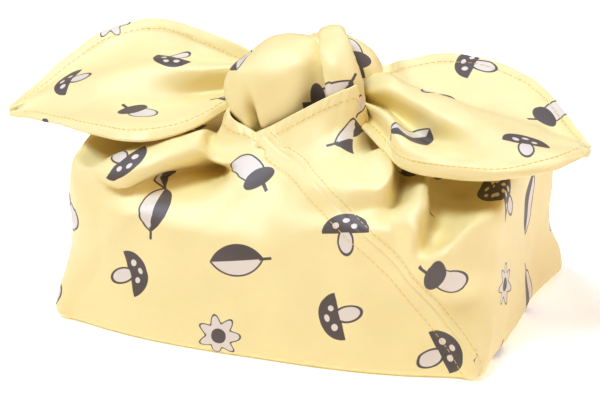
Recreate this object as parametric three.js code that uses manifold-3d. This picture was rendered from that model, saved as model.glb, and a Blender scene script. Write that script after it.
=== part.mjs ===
// A tied lunch-wrap bag: one strip of cloth sewn into a pouch, its two pointed ends knotted on top.
// Millimetres, +Z up, origin at the middle of the base. The front, with its V-shaped mouth, faces -Y.
import * as THREE from 'three';
import { mergeVertices } from 'three/addons/utils/BufferGeometryUtils.js';
import Module from 'manifold-3d';

// Driving dimensions
const CLOTH_THICKNESS = 1.6;
const BAG_LENGTH = 191;
const BAG_DEPTH = 128;
const SHOULDER_HEIGHT = 60;
const THROAT_LENGTH = 62;
const THROAT_DEPTH = 50;
const KNOT_HEIGHT = 98;

// Mesh density: columns on a quarter of the pouch, and steps between the named points of an end or the band
const SIDE_COLUMNS = 4;
const CORNER_COLUMNS = 3;
const FRONT_COLUMNS = 14;
const END_STEPS = { across: 2, along: 3 };
const BAND_STEPS = { across: 2, along: 2 };
const SAME_POINT = 1e-4;

// Samples along a fold's line, how softly the cloth gives at them, and the power of the curve that the
// long sides bow out by
const LINE_SAMPLES = 9;
const SMOOTHING = 0.03;
const BOW_POWER = 3;

// The front as it is, and the back as the front turned half round the upright axis
const FRONT = new THREE.Vector3(1, 1, 1);
const BACK = new THREE.Vector3(-1, -1, 1);

// The pouch's levels from the floor to the mouth, with the mesh rows up to the next level, half length,
// half depth, how far the long sides bow out, and corner radius; the mouth's height is in MOUTH_EDGE
const LEVELS = [
  {
    name: 'foot', height: 0, rows: 1,
    halfLength: BAG_LENGTH / 2 - 2, halfDepth: BAG_DEPTH / 2 - 2, bow: 12, corner: 6,
  },
  {
    name: 'heel', height: 3, rows: 2,
    halfLength: BAG_LENGTH / 2 + 1, halfDepth: BAG_DEPTH / 2, bow: 12, corner: 8,
  },
  {
    name: 'wall', height: 30, rows: 2,
    halfLength: 96, halfDepth: 63, bow: 7, corner: 22,
  },
  {
    name: 'shoulder', height: SHOULDER_HEIGHT - 13, rows: 3,
    halfLength: 93, halfDepth: 61, bow: 5, corner: 18,
  },
  {
    name: 'brow', height: SHOULDER_HEIGHT - 1, rows: 5,
    halfLength: 88, halfDepth: 57, bow: 1, corner: 16,
  },
  {
    name: 'roof', height: SHOULDER_HEIGHT + 10, rows: 4,
    halfLength: 60, halfDepth: 44, bow: 1, corner: 24,
  },
  {
    name: 'collar', height: SHOULDER_HEIGHT + 18, rows: 4,
    halfLength: 34, halfDepth: 32, bow: 2, corner: 14,
  },
  {
    name: 'mouth', rows: 0,
    halfLength: THROAT_LENGTH / 2, halfDepth: THROAT_DEPTH / 2, bow: 2, corner: 8,
  },
];

// The mouth's edge round the throat, by compass angle from +X: its height, lowest at the two V notches
const MOUTH_EDGE = [
  { angle: 180, height: 82 },
  { angle: 208, height: 91 },
  { angle: 238, height: 83 },
  { angle: 320, height: 109 },
  { angle: 336, height: 86 },
];

// Folds of the pouch: the smooth cloth along one line comes to lie along another, each line through three
// points, and the cloth beside it follows within about width
const POUCH_FOLDS = [
  {
    name: 'high shoulder over the short side', width: 18,
    cloth: [[-87, -44, 60], [-88, -8, 60], [-87, 24, 60]],
    place: [[-92, -46, 66], [-93, -10, 79], [-91, 24, 74]],
  },
  {
    name: 'lit front shoulder', width: 9,
    cloth: [[-64, -60, 54], [-34, -60, 55], [0, -59, 57]],
    place: [[-64, -64, 51], [-36, -63, 51], [0, -60, 55]],
  },
  {
    name: 'floor of the left hollow', width: 8,
    cloth: [[-60, -56, 59], [-40, -55, 61], [-15, -52, 64]],
    place: [[-58, -59, 56], [-40, -54, 58], [-17, -51, 62]],
  },
  {
    name: 'undercut of the left ridge', width: 8,
    cloth: [[-64, -51, 62], [-47, -48, 66], [-32, -44, 70]],
    place: [[-61, -52, 60], [-49, -37, 63], [-34, -23, 64]],
  },
  {
    name: 'face of the left ridge', width: 8,
    cloth: [[-69, -46, 64], [-53, -39, 69], [-36, -36, 73]],
    place: [[-66, -60, 62], [-53, -56, 71], [-37, -42, 76]],
  },
  {
    name: 'crest of the left ridge', width: 8,
    cloth: [[-77, -42, 63], [-60, -33, 69], [-39, -28, 74]],
    place: [[-79, -53, 67], [-58, -45, 78], [-39, -30, 82]],
  },
  {
    name: 'valley behind the left ridge', width: 9,
    cloth: [[-83, -36, 62], [-70, -24, 67], [-50, -14, 72]],
    place: [[-86, -40, 65], [-70, -25, 70], [-50, -12, 73]],
  },
  {
    name: 'left bulge of the throat', width: 7,
    cloth: [[-31, -20, 88], [-32, -27, 78], [-27, -36, 74]],
    place: [[-32, -21, 89], [-37, -30, 77], [-31, -38, 71]],
  },
  {
    name: 'belly of the throat', width: 11,
    cloth: [[0, -34, 79], [24, -33, 77], [38, -31, 73]],
    place: [[0, -36, 79], [26, -45, 80], [43, -42, 82]],
  },
  {
    name: 'lower edge of the belly', width: 9,
    cloth: [[4, -44, 71], [28, -43, 71], [44, -40, 71]],
    place: [[4, -46, 71], [31, -56, 73], [50, -52, 76]],
  },
  {
    name: 'trough under the belly', width: 8,
    cloth: [[6, -51, 66], [30, -50, 66], [48, -49, 67]],
    place: [[6, -53, 65], [31, -58, 66], [48, -54, 68]],
  },
  {
    name: 'front shoulder under the trough', width: 9,
    cloth: [[8, -58, 58], [34, -58, 58], [58, -58, 58]],
    place: [[8, -60, 57], [34, -63, 59], [60, -63, 61]],
  },
  {
    name: 'right edge of the belly', width: 7,
    cloth: [[40, -27, 74], [47, -33, 71], [50, -40, 69]],
    place: [[42, -34, 86], [50, -40, 81], [52, -48, 76]],
  },
  {
    name: 'valley beside the belly', width: 7,
    cloth: [[47, -22, 73], [54, -30, 70], [56, -42, 69]],
    place: [[42, -22, 76], [50, -30, 71], [54, -45, 66]],
  },
  {
    name: 'left flank of the rolled ridge', width: 7,
    cloth: [[59, -27, 70], [60, -43, 67], [61, -54, 63]],
    place: [[56, -30, 76], [60, -46, 73], [60, -60, 67]],
  },
  {
    name: 'crest of the rolled ridge', width: 7,
    cloth: [[65, -33, 68], [66, -46, 66], [66, -58, 57]],
    place: [[64, -36, 77], [69, -51, 73], [69, -64, 63]],
  },
  {
    name: 'undercut of the rolled ridge', width: 7,
    cloth: [[72, -30, 66], [71, -44, 65], [70, -58, 57]],
    place: [[63, -24, 68], [67, -42, 65], [69, -59, 58]],
  },
  {
    name: 'hollow beside the rolled ridge', width: 9,
    cloth: [[79, -26, 64], [78, -44, 64], [76, -59, 55]],
    place: [[75, -22, 64], [79, -43, 64], [76, -59, 55]],
  },
  {
    name: 'slanting shoulder at the right', width: 11,
    cloth: [[67, -62, 47], [83, -56, 56], [87, -42, 60]],
    place: [[68, -67, 50], [85, -61, 62], [95, -43, 68]],
  },
  {
    name: 'face below that shoulder', width: 12,
    cloth: [[76, -64, 32], [87, -58, 40], [93, -47, 46]],
    place: [[76, -65, 32], [89, -60, 40], [96, -46, 46]],
  },
  {
    name: 'sharp front right corner', width: 9,
    cloth: [[96, -62, 3], [94, -60, 14], [90, -57, 30]],
    place: [[98, -65, 3], [95, -61, 14], [90, -57, 30]],
  },
  {
    name: 'front left corner', width: 9,
    cloth: [[-94, -62, 3], [-93, -60, 14], [-90, -57, 30]],
    place: [[-95, -64, 3], [-94, -61, 14], [-90, -57, 30]],
  },
  {
    name: 'dent in the right wall', width: 22,
    cloth: [[97, 25, 4], [97, 25, 20], [94, 17, 44]],
    place: [[94, 26, 4], [93, 24, 20], [93, 18, 44]],
  },
];

// The left pointed end, a row for each station from the knot to the tip
const LEFT_END = [
  {
    name: 'root', hem: [-18, 0, 90], belly: [-18, 1, 92], hollow: [-18, 2, 94], ridge: [-18, 3, 97],
    trough: [-18, 4, 100], rim: [-18, 5, 103],
  },
  {
    name: 'neck', hem: [-32, -10, 87], belly: [-33, -6, 90], hollow: [-35, 4, 90],
    ridge: [-33, 4, 100], trough: [-35, 12, 100], rim: [-34, 14, 105],
  },
  {
    name: 'flare', hem: [-45, -32, 82], belly: [-46, -26, 86], hollow: [-55, 0, 87],
    ridge: [-53, 2, 98], trough: [-58, 18, 99], rim: [-60, 26, 107],
  },
  {
    name: 'wide', hem: [-61, -48, 80], belly: [-63, -42, 84], hollow: [-74, -12, 85],
    ridge: [-77, 2, 97], trough: [-83, 20, 98], rim: [-90, 35, 107],
  },
  {
    name: 'fore', hem: [-84, -42, 78], belly: [-87, -36, 82], hollow: [-94, -18, 83],
    ridge: [-99, -4, 91], trough: [-105, 14, 92], rim: [-111, 28, 101],
  },
  {
    name: 'nose', hem: [-113, -28, 76], belly: [-116, -23, 77], hollow: [-120, -15, 77],
    ridge: [-124, -6, 81], trough: [-127, 2, 82], rim: [-130, 9, 85],
  },
  {
    name: 'tip', hem: [-136, -20, 74], belly: [-137, -19, 74], hollow: [-137, -18, 74],
    ridge: [-138, -17, 75], trough: [-138, -16, 75], rim: [-139, -15, 75],
  },
];

// The right pointed end; its lower edge is rolled under near the knot
const RIGHT_END = [
  {
    name: 'root', hem: [18, -12, 90], cup: [18, -11, 93], roll: [18, -12, 97], dip: [18, -8, 97],
    belly: [18, -6, 99], ridge: [18, -2, 101], hollow: [18, 2, 102], rim: [18, 4, 103],
  },
  {
    name: 'neck', hem: [30, -23, 89], cup: [30, -15, 92], roll: [34, -20, 98], dip: [33, -10, 95],
    belly: [38, -12, 103], ridge: [33, -2, 107], hollow: [31, 4, 105], rim: [29, 8, 107],
  },
  {
    name: 'curl', hem: [43, -34, 85], cup: [43, -27, 89], roll: [45, -30, 96], dip: [44, -19, 92],
    belly: [55, -20, 100], ridge: [43, -5, 105], hollow: [43, 6, 100], rim: [33, 22, 106],
  },
  {
    name: 'flare', hem: [56, -43, 81], cup: [54, -41, 86], roll: [53, -38, 90], dip: [56, -29, 87],
    belly: [73, -28, 96], ridge: [58, -8, 103], hollow: [62, 4, 97], rim: [51, 34, 107],
  },
  {
    name: 'wide', hem: [94, -48, 83], cup: [95, -49, 87], roll: [94, -47, 89], dip: [94, -43, 91],
    belly: [92, -34, 95], ridge: [79, -12, 99], hollow: [81, 2, 95], rim: [74, 36, 104],
  },
  {
    name: 'fore', hem: [115, -38, 86], cup: [115, -38, 88], roll: [114, -36, 89],
    dip: [112, -32, 91], belly: [108, -22, 92], ridge: [103, -10, 93], hollow: [97, 8, 92],
    rim: [93, 28, 100],
  },
  {
    name: 'tip', hem: [127, -15, 87], cup: [127, -14, 87], roll: [127, -13, 87],
    dip: [127, -12, 88], belly: [126, -11, 88], ridge: [126, -10, 88], hollow: [126, -9, 88],
    rim: [126, -8, 88],
  },
];

// Folds of the knot's front loop
const FRONT_LOOP_FOLDS = [
  {
    name: 'pleat', width: 3,
    cloth: [[-17, -22, 82], [-19, -22, 90], [-21, -20, 99]],
    place: [[-17, -17, 82], [-20, -17, 90], [-22, -18, 99]],
  },
  {
    name: 'ridge right of the pleat', width: 4,
    cloth: [[-13, -24, 84], [-14, -24, 92], [-16, -22, 100]],
    place: [[-13, -25, 84], [-15, -25, 92], [-17, -22, 100]],
  },
  {
    name: 'left lobe', width: 6,
    cloth: [[-22, -20, 83], [-27, -17, 90], [-32, -11, 98]],
    place: [[-20, -24, 83], [-28, -21, 89], [-35, -13, 97]],
  },
  {
    name: 'step over the left lobe', width: 5,
    cloth: [[-28, 0, 112], [-27, -7, 111], [-23, -14, 109]],
    place: [[-27, 0, 109], [-26, -7, 107], [-22, -15, 105]],
  },
  {
    name: 'top', width: 7,
    cloth: [[-18, -4, 117], [-8, -6, 118], [4, -6, 117]],
    place: [[-17, -2, 117.5], [-8, -3, 119], [3, -3, 118.5]],
  },
  {
    name: 'recess at the band', width: 6,
    cloth: [[7, -14, 113], [8, -19, 106], [8, -20, 97]],
    place: [[6, -13, 112], [7, -16, 106], [7, -17, 97]],
  },
];

// The knot: rounded lobes, some squarer than a ball
const LOBES = [
  {
    name: 'front loop', centre: [-8, -3, KNOT_HEIGHT - 4], radii: [27, 21, 25], squareness: 0.78,
    segments: [28, 16], folds: FRONT_LOOP_FOLDS,
  },
  {
    name: 'back loop', centre: [7, 5, KNOT_HEIGHT - 2], radii: [25, 13, 25], squareness: 1,
    segments: [16, 10], folds: [],
  },
  {
    name: 'core', centre: [5, 2, KNOT_HEIGHT + 6], radii: [12, 12, 18], squareness: 1,
    segments: [12, 8], folds: [],
  },
];

// The narrow band over the knot, from its foot at the front over the top and down at the back
const BAND = [
  {
    name: 'front foot', leftTuck: [17, -13, 92], left: [15, -20, 92], crown: [22, -22, 94],
    right: [29, -16, 94], rightTuck: [27, -9, 94],
  },
  {
    name: 'front low', leftTuck: [16, -17, 103], left: [14.6, -24, 103], crown: [21, -24, 106],
    right: [27, -17, 106], rightTuck: [25, -10, 105],
  },
  {
    name: 'front middle', leftTuck: [12, -15, 111], left: [13, -22, 113], crown: [18.5, -21, 115],
    right: [24, -14, 113.5], rightTuck: [21, -8, 110],
  },
  {
    name: 'front upper', leftTuck: [8, -9, 116], left: [8.3, -14, 120], crown: [14, -13, 121.5],
    right: [18.7, -7.5, 120.5], rightTuck: [16, -3, 117],
  },
  {
    name: 'top', leftTuck: [3, 0, 118], left: [3, 0, 122], crown: [7.5, 2, 124.5],
    right: [11, 4, 123.5], rightTuck: [12, 5, 119],
  },
  {
    name: 'back upper', leftTuck: [-2, 9, 113], left: [-2, 12, 117], crown: [2, 17, 118],
    right: [7, 17, 116], rightTuck: [7, 12, 112],
  },
  {
    name: 'back low', leftTuck: [-16, 14, 102], left: [-16, 18, 104], crown: [-10, 24, 104],
    right: [-5, 20, 102], rightTuck: [-6, 15, 100],
  },
];

const wasm = await Module();
wasm.setup();

const vector = (point) => new THREE.Vector3(...point);

// A smooth curve through the given points, sampled with a number of steps in each stretch
function curveThrough(points, steps) {
  const curve = new THREE.CatmullRomCurve3(points);
  const samples = [];
  for (let stretch = 0; stretch < points.length - 1; stretch += 1) {
    for (let step = 0; step < steps[stretch]; step += 1) {
      samples.push(curve.getPoint((stretch + step / steps[stretch]) / (points.length - 1)));
    }
  }
  samples.push(points.at(-1).clone());
  return samples;
}

// A quarter of a level's outline, from the middle of the short side to the middle of the long side
function quarterOutline(level) {
  const { halfLength, halfDepth, bow, corner, height = 0 } = level;
  const points = [];
  for (let i = 0; i < SIDE_COLUMNS; i += 1) {
    points.push(new THREE.Vector3(halfLength, ((halfDepth - corner) * i) / SIDE_COLUMNS, height));
  }
  for (let i = 0; i < CORNER_COLUMNS; i += 1) {
    const turn = (Math.PI / 2) * (i / CORNER_COLUMNS);
    const x = halfLength - corner + corner * Math.cos(turn);
    const y = halfDepth - corner + corner * Math.sin(turn);
    points.push(new THREE.Vector3(x, y, height));
  }
  for (let i = 0; i <= FRONT_COLUMNS; i += 1) {
    const share = 1 - i / FRONT_COLUMNS;
    const y = halfDepth + bow * (1 - share ** BOW_POWER);
    points.push(new THREE.Vector3((halfLength - corner) * share, y, height));
  }
  return points;
}

// The whole outline, anticlockwise from +X
function outline(level) {
  const quarter = quarterOutline(level);
  const mirrored = quarter.slice(0, -1).reverse();
  const half = [...quarter, ...mirrored.map((p) => new THREE.Vector3(-p.x, p.y, p.z))].slice(0, -1);
  return [...half, ...half.map((p) => new THREE.Vector3(-p.x, -p.y, p.z))];
}

// The mouth edge's height at a point of the throat; the back half repeats the front turned half round
function mouthHeight(point) {
  let angle = THREE.MathUtils.radToDeg(Math.atan2(point.y, point.x));
  angle = THREE.MathUtils.euclideanModulo(angle, 180) + 180;
  const rows = [...MOUTH_EDGE, { angle: 360, height: MOUTH_EDGE[0].height }];
  const next = rows.findIndex((row) => row.angle >= angle);
  const [before, after] = [rows[Math.max(next - 1, 0)], rows[Math.max(next, 1)]];
  return THREE.MathUtils.mapLinear(angle, before.angle, after.angle, before.height, after.height);
}

// The pouch's outer skin: rows from the floor to the mouth, each an outline round the bag
function pouchSkin() {
  const rings = LEVELS.map(outline);
  rings.at(-1).forEach((point) => point.setZ(mouthHeight(point)));
  const steps = LEVELS.map((level) => level.rows);
  const columns = rings[0].map((_, i) => curveThrough(rings.map((ring) => ring[i]), steps));
  return columns[0].map((_, row) => columns.map((column) => column[row]));
}

// The vectors that solve a square set of linear equations, by elimination
function solve(rows, sides) {
  const size = rows.length;
  const matrix = rows.map((row, i) => [...row, ...sides[i].toArray()]);
  for (let k = 0; k < size; k += 1) {
    let pivot = k;
    for (let i = k + 1; i < size; i += 1) {
      if (Math.abs(matrix[i][k]) > Math.abs(matrix[pivot][k])) pivot = i;
    }
    [matrix[k], matrix[pivot]] = [matrix[pivot], matrix[k]];
    for (let i = 0; i < size; i += 1) {
      const share = i === k ? 0 : matrix[i][k] / matrix[k][k];
      if (share !== 0) {
        for (let j = k; j < size + 3; j += 1) matrix[i][j] -= share * matrix[k][j];
      }
    }
  }
  return matrix.map((row, i) => vector(row.slice(size)).divideScalar(row[i]));
}

// The function that moves a point by folds, repeated for each side (a sign for every axis). The move is the
// sum of strength * exp(-(distance / width)^2) over samples of every line, with the strengths solved
// together so that each line comes to lie in its place
function folding(folds, sides) {
  const samples = folds.flatMap(({ width, cloth, place }) => sides.flatMap((side) => {
    const [from, to] = [cloth, place].map((line) => (
      new THREE.CatmullRomCurve3(line.map((point) => vector(point).multiply(side))).getPoints(LINE_SAMPLES - 1)
    ));
    return from.map((centre, i) => ({ centre, width, move: to[i].clone().sub(centre) }));
  }));
  const pull = (point) => samples.map(({ centre, width }) => (
    Math.exp(-((point.distanceTo(centre) / width) ** 2))
  ));
  const rows = samples.map(({ centre }, i) => {
    const row = pull(centre);
    row[i] += SMOOTHING;
    return row;
  });
  const strengths = solve(rows, samples.map(({ move }) => move));
  return (point) => {
    const moved = point.clone();
    pull(point).forEach((share, i) => moved.addScaledVector(strengths[i], share));
    return moved;
  };
}

// Unit normals of a grid, facing out where rows run up and columns run anticlockwise
function normals(grid, wraps) {
  const rows = grid.length;
  const columns = grid[0].length;
  return grid.map((ring, i) => ring.map((_, j) => {
    const left = wraps ? (j + columns - 1) % columns : Math.max(j - 1, 0);
    const right = wraps ? (j + 1) % columns : Math.min(j + 1, columns - 1);
    const across = grid[i][right].clone().sub(grid[i][left]);
    const up = grid[Math.min(i + 1, rows - 1)][j].clone().sub(grid[Math.max(i - 1, 0)][j]);
    return across.cross(up).normalize();
  }));
}

// A closed solid from a list of points and triangles
function solid(points, triangles) {
  const geometry = new THREE.BufferGeometry().setFromPoints(points);
  geometry.setIndex(triangles);
  const merged = mergeVertices(geometry, SAME_POINT);
  return new wasm.Manifold(new wasm.Mesh({
    numProp: 3,
    vertProperties: new Float32Array(merged.attributes.position.array),
    triVerts: new Uint32Array(merged.index.array),
  }));
}

// The pouch as a hollow solid: outer skin, the same skin moved in by the cloth's thickness, a rim and a floor
function pouchSolid() {
  const fold = folding(POUCH_FOLDS, [FRONT, BACK]);
  const outer = pouchSkin().map((ring) => ring.map(fold));
  const facing = normals(outer, true);
  const inner = outer.map((ring, i) => ring.map((point, j) => {
    const moved = point.clone().addScaledVector(facing[i][j], -CLOTH_THICKNESS);
    return moved.setZ(Math.max(moved.z, CLOTH_THICKNESS));
  }));
  const rows = outer.length;
  const columns = outer[0].length;
  const points = [...outer.flat(), ...inner.flat()];
  points.push(new THREE.Vector3(0, 0, 0), new THREE.Vector3(0, 0, CLOTH_THICKNESS));
  const [floor, inside] = [points.length - 2, points.length - 1];
  const skin = rows * columns;
  const triangles = [];
  for (let j = 0; j < columns; j += 1) {
    const k = (j + 1) % columns;
    for (let i = 0; i < rows - 1; i += 1) {
      const [a, b, c, d] = [i * columns + j, i * columns + k, (i + 1) * columns + k, (i + 1) * columns + j];
      triangles.push(a, b, c, a, c, d);
      triangles.push(skin + a, skin + c, skin + b, skin + a, skin + d, skin + c);
    }
    const [a, b] = [(rows - 1) * columns + j, (rows - 1) * columns + k];
    triangles.push(a, b, skin + b, a, skin + b, skin + a);
    triangles.push(floor, k, j, inside, skin + j, skin + k);
  }
  return solid(points, triangles);
}

// A sheet of cloth with a free edge all round, from a grid of points through its middle
function sheetSolid(grid) {
  const facing = normals(grid, false);
  const shifted = (distance) => grid.map((ring, i) => ring.map((point, j) => (
    point.clone().addScaledVector(facing[i][j], distance)
  )));
  const skins = [shifted(CLOTH_THICKNESS / 2), shifted(-CLOTH_THICKNESS / 2)];
  const rows = grid.length;
  const columns = grid[0].length;
  const points = [...skins[0].flat(), ...skins[1].flat()];
  const skin = rows * columns;
  const at = (i, j) => i * columns + j;
  const triangles = [];
  for (let i = 0; i < rows - 1; i += 1) {
    for (let j = 0; j < columns - 1; j += 1) {
      const [a, b, c, d] = [at(i, j), at(i, j + 1), at(i + 1, j + 1), at(i + 1, j)];
      triangles.push(a, b, c, a, c, d);
      triangles.push(skin + a, skin + c, skin + b, skin + a, skin + d, skin + c);
    }
  }
  const count = (total) => [...Array(total).keys()];
  const edge = [
    ...count(columns - 1).map((j) => at(0, j)),
    ...count(rows - 1).map((i) => at(i, columns - 1)),
    ...count(columns - 1).map((j) => at(rows - 1, columns - 1 - j)),
    ...count(rows - 1).map((i) => at(rows - 1 - i, 0)),
  ];
  edge.forEach((a, n) => {
    const b = edge[(n + 1) % edge.length];
    triangles.push(skin + a, skin + b, b, skin + a, b, a);
  });
  return solid(points, triangles);
}

// A grid through a table's named points: across each row first, then along the stations
function patch(table, steps) {
  const rows = table.map(({ name, ...columns }) => {
    const points = Object.values(columns).map(vector);
    return curveThrough(points, points.slice(1).map(() => steps.across));
  });
  const alongSteps = rows.slice(1).map(() => steps.along);
  const lines = rows[0].map((_, j) => curveThrough(rows.map((row) => row[j]), alongSteps));
  return lines[0].map((_, i) => lines.map((line) => line[i]));
}

// A rounded lobe of the knot, with its folds
function lobeSolid({ centre, radii, squareness, segments, folds }) {
  const geometry = new THREE.SphereGeometry(1, ...segments);
  geometry.deleteAttribute('normal');
  geometry.deleteAttribute('uv');
  const merged = mergeVertices(geometry, SAME_POINT);
  const points = [];
  for (let i = 0; i < merged.attributes.position.count; i += 1) {
    const unit = new THREE.Vector3().fromBufferAttribute(merged.attributes.position, i);
    const [x, y, z] = unit.toArray().map((value) => Math.sign(value) * Math.abs(value) ** squareness);
    points.push(new THREE.Vector3(x, y, z).multiply(vector(radii)).add(vector(centre)));
  }
  return solid(points.map(folding(folds, [FRONT])), [...merged.index.array]);
}

const pieces = [
  sheetSolid(patch(LEFT_END, END_STEPS)),
  sheetSolid(patch(RIGHT_END, END_STEPS)),
  sheetSolid(patch(BAND, BAND_STEPS)),
  ...LOBES.map(lobeSolid),
];
const cloth = pieces.reduce((sum, piece) => sum.add(piece), pouchSolid());

const { vertProperties, triVerts } = cloth.getMesh();
const geometry = new THREE.BufferGeometry();
geometry.setAttribute('position', new THREE.BufferAttribute(vertProperties, 3));
geometry.setIndex(new THREE.BufferAttribute(triVerts, 1));
geometry.computeVertexNormals();

const material = new THREE.MeshStandardMaterial({ color: 0xf3e3a0, roughness: 0.75, metalness: 0 });
const mesh = new THREE.Mesh(geometry, material);
mesh.name = 'furoshiki_cloth';

const bag = new THREE.Group();
bag.add(mesh);
export default bag;
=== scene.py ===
"""Looks for a tied lunch-wrap bag: one strip of pale yellow cloth, sewn into a pouch and knotted on top.

Tables are in millimetres in the solids' frame: +Z up, the front faces -Y. Meshes are in metres.
"""
import math

import bmesh
import bpy
import numpy as np
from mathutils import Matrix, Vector


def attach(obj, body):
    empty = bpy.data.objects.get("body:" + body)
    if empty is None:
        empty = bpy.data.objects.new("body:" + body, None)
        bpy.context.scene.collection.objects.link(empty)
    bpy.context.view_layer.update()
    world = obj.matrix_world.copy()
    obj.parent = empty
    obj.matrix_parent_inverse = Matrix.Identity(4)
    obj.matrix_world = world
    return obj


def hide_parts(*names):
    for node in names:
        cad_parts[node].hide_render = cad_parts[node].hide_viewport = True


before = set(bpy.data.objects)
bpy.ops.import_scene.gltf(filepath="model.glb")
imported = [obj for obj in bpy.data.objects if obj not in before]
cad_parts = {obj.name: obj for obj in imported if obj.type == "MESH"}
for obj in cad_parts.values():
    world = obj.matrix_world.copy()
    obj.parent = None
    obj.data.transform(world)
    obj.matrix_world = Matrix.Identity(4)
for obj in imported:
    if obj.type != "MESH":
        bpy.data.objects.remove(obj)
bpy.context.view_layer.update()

# Camera: it stands where the photograph was taken from, right of the front and 21 degrees up,
# with a long lens.
CAMERA_AIM = (-6.315, 0.0, 42.667)
CAMERA_AZIMUTH = 20.454
CAMERA_ELEVATION = 21.243
CAMERA_DISTANCE = 1300.0
CAMERA_LENS = 177.816
CAMERA_NEAR = 0.05


def direction(azimuth, elevation):
    """The unit vector towards an azimuth, turned from -Y towards +X, and an elevation, in degrees."""
    a, e = math.radians(azimuth), math.radians(elevation)
    return Vector((math.sin(a) * math.cos(e), -math.cos(a) * math.cos(e), math.sin(e)))


def place(thing, aim, azimuth, elevation, distance):
    """Stands a camera or light off an aim point, in millimetres, and turns it to look there."""
    away = direction(azimuth, elevation)
    thing.location = (Vector(aim) + away * distance) * 0.001
    thing.rotation_euler = away.to_track_quat("Z", "Y").to_euler()
    bpy.context.scene.collection.objects.link(thing)


camera = bpy.data.objects.new("camera", bpy.data.cameras.new("camera"))
camera.data.lens = CAMERA_LENS
camera.data.clip_start = CAMERA_NEAR
place(camera, CAMERA_AIM, CAMERA_AZIMUTH, CAMERA_ELEVATION, CAMERA_DISTANCE)
bpy.context.scene.camera = camera

# Light: four wide soft lamps, bluish like a studio's, in a warm glow that the cloth's own yellow throws
# back into its hollows. The key lamp stands high over the front; the view's gamma hardens the shade.
LAMPS = {
    "key lamp": dict(azimuth=-30, elevation=66, size=1300, watts=72.0, colour=(0.57, 0.76, 1.0)),
    "left lamp": dict(azimuth=-90, elevation=35, size=2000, watts=24.0, colour=(0.46, 0.67, 1.0)),
    "right lamp": dict(azimuth=95, elevation=38, size=2400, watts=37.0, colour=(0.62, 0.75, 1.0)),
    "back lamp": dict(azimuth=170, elevation=55, size=1500, watts=24.0, colour=(0.46, 0.67, 1.0)),
}
LAMP_AIM = (0, 0, 40)
LAMP_DISTANCE = 3000
ROOM_LIGHT = 0.44
ROOM_COLOUR = (1.0, 0.51, 0.06, 1.0)
VIEW_GAMMA = 0.62

for name, lamp in LAMPS.items():
    light = bpy.data.objects.new(name, bpy.data.lights.new(name, "AREA"))
    light.data.energy = lamp["watts"]
    light.data.size = lamp["size"] * 0.001
    light.data.color = lamp["colour"]
    place(light, LAMP_AIM, lamp["azimuth"], lamp["elevation"], LAMP_DISTANCE)

world = bpy.data.worlds.new("warm room")
world.use_nodes = True
world.node_tree.nodes["Background"].inputs["Color"].default_value = ROOM_COLOUR
world.node_tree.nodes["Background"].inputs["Strength"].default_value = ROOM_LIGHT
bpy.context.scene.world = world
bpy.context.scene.view_settings.view_transform = "Standard"
bpy.context.scene.view_settings.gamma = VIEW_GAMMA

# Floor: a plain pale table that the bag stands on, in metres. It glows a little, so that it stays as white
# as the room round it.
FLOOR_REACH = 3.0
FLOOR_CORNERS = [(-1, -1), (1, -1), (1, 1), (-1, 1)]
FLOOR_LOOKS = {
    "Base Color": (0.85, 0.85, 0.85, 1.0),
    "Roughness": 0.9,
    "Emission Color": (1.0, 1.0, 1.0, 1.0),
    "Emission Strength": 0.34,
}


def painted(name, looks):
    """A material of one shader, with its named inputs set."""
    material = bpy.data.materials.new(name)
    material.use_nodes = True
    for slot, value in looks.items():
        material.node_tree.nodes["Principled BSDF"].inputs[slot].default_value = value
    return material


floor_mesh = bpy.data.meshes.new("floor")
floor_mesh.from_pydata([(FLOOR_REACH * x, FLOOR_REACH * y, 0) for x, y in FLOOR_CORNERS], [], [(0, 1, 2, 3)])
floor = bpy.data.objects.new("floor", floor_mesh)
bpy.context.scene.collection.objects.link(floor)
floor_mesh.materials.append(painted("floor", FLOOR_LOOKS))

# Cloth: smooth plain-weave cotton, pale yellow, with a tossed print of acorns, leaves, mushrooms and
# daisies in warm grey and off-white. Every piece of the bag is cut from it and reads its own UV map,
# which is in metres along the cloth.
CLOTH_YELLOW = (0.95, 0.86, 0.51, 1.0)
PRINT_GREY = (0.21, 0.18, 0.16, 1.0)
PRINT_WHITE = (0.84, 0.79, 0.70, 1.0)
CLOTH_LOOKS = {"Roughness": 0.5, "Specular IOR Level": 1.0, "Sheen Weight": 0.15, "Sheen Roughness": 0.5}
# The print's cell, how far a motif strays from its middle, its outline's half width and its soft edge
PRINT_PITCH = (44.0, 38.0)
PRINT_STRAY = 7.0
PRINT_OUTLINE = 0.35
INK_EDGE = 0.2
# The dyed cloth's unevenness in brightness, and the weave's threads
TONE_SCALE = 60.0
TONE_DETAIL = 4.0
TONE_LOWEST = 0.97
TONE_SPREAD = 0.06
THREAD_PITCH = 0.45
WEAVE_STRENGTH = 0.25
WEAVE_HEIGHT = 0.00003


class Field:
    """A number at each point of the cloth. Each operation on it adds one Math node to the material."""

    def __init__(self, tree, socket):
        self.tree = tree
        self.socket = socket

    def math(self, operation, *others):
        node = self.tree.nodes.new("ShaderNodeMath")
        node.operation = operation
        for slot, value in enumerate((self, *others)):
            if isinstance(value, Field):
                self.tree.links.new(value.socket, node.inputs[slot])
            else:
                node.inputs[slot].default_value = value
        return Field(self.tree, node.outputs[0])

    def __add__(self, other):
        return self.math("ADD", other)

    def __sub__(self, other):
        return self.math("SUBTRACT", other)

    def __mul__(self, other):
        return self.math("MULTIPLY", other)

    def __truediv__(self, other):
        return self.math("DIVIDE", other)

    def __neg__(self):
        return self * -1.0

    def __abs__(self):
        return self.math("ABSOLUTE")

    def least(self, other):
        return self.math("MINIMUM", other)

    def most(self, other):
        return self.math("MAXIMUM", other)

    def floor(self):
        return self.math("FLOOR")

    def sine(self):
        return self.math("SINE")


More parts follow.
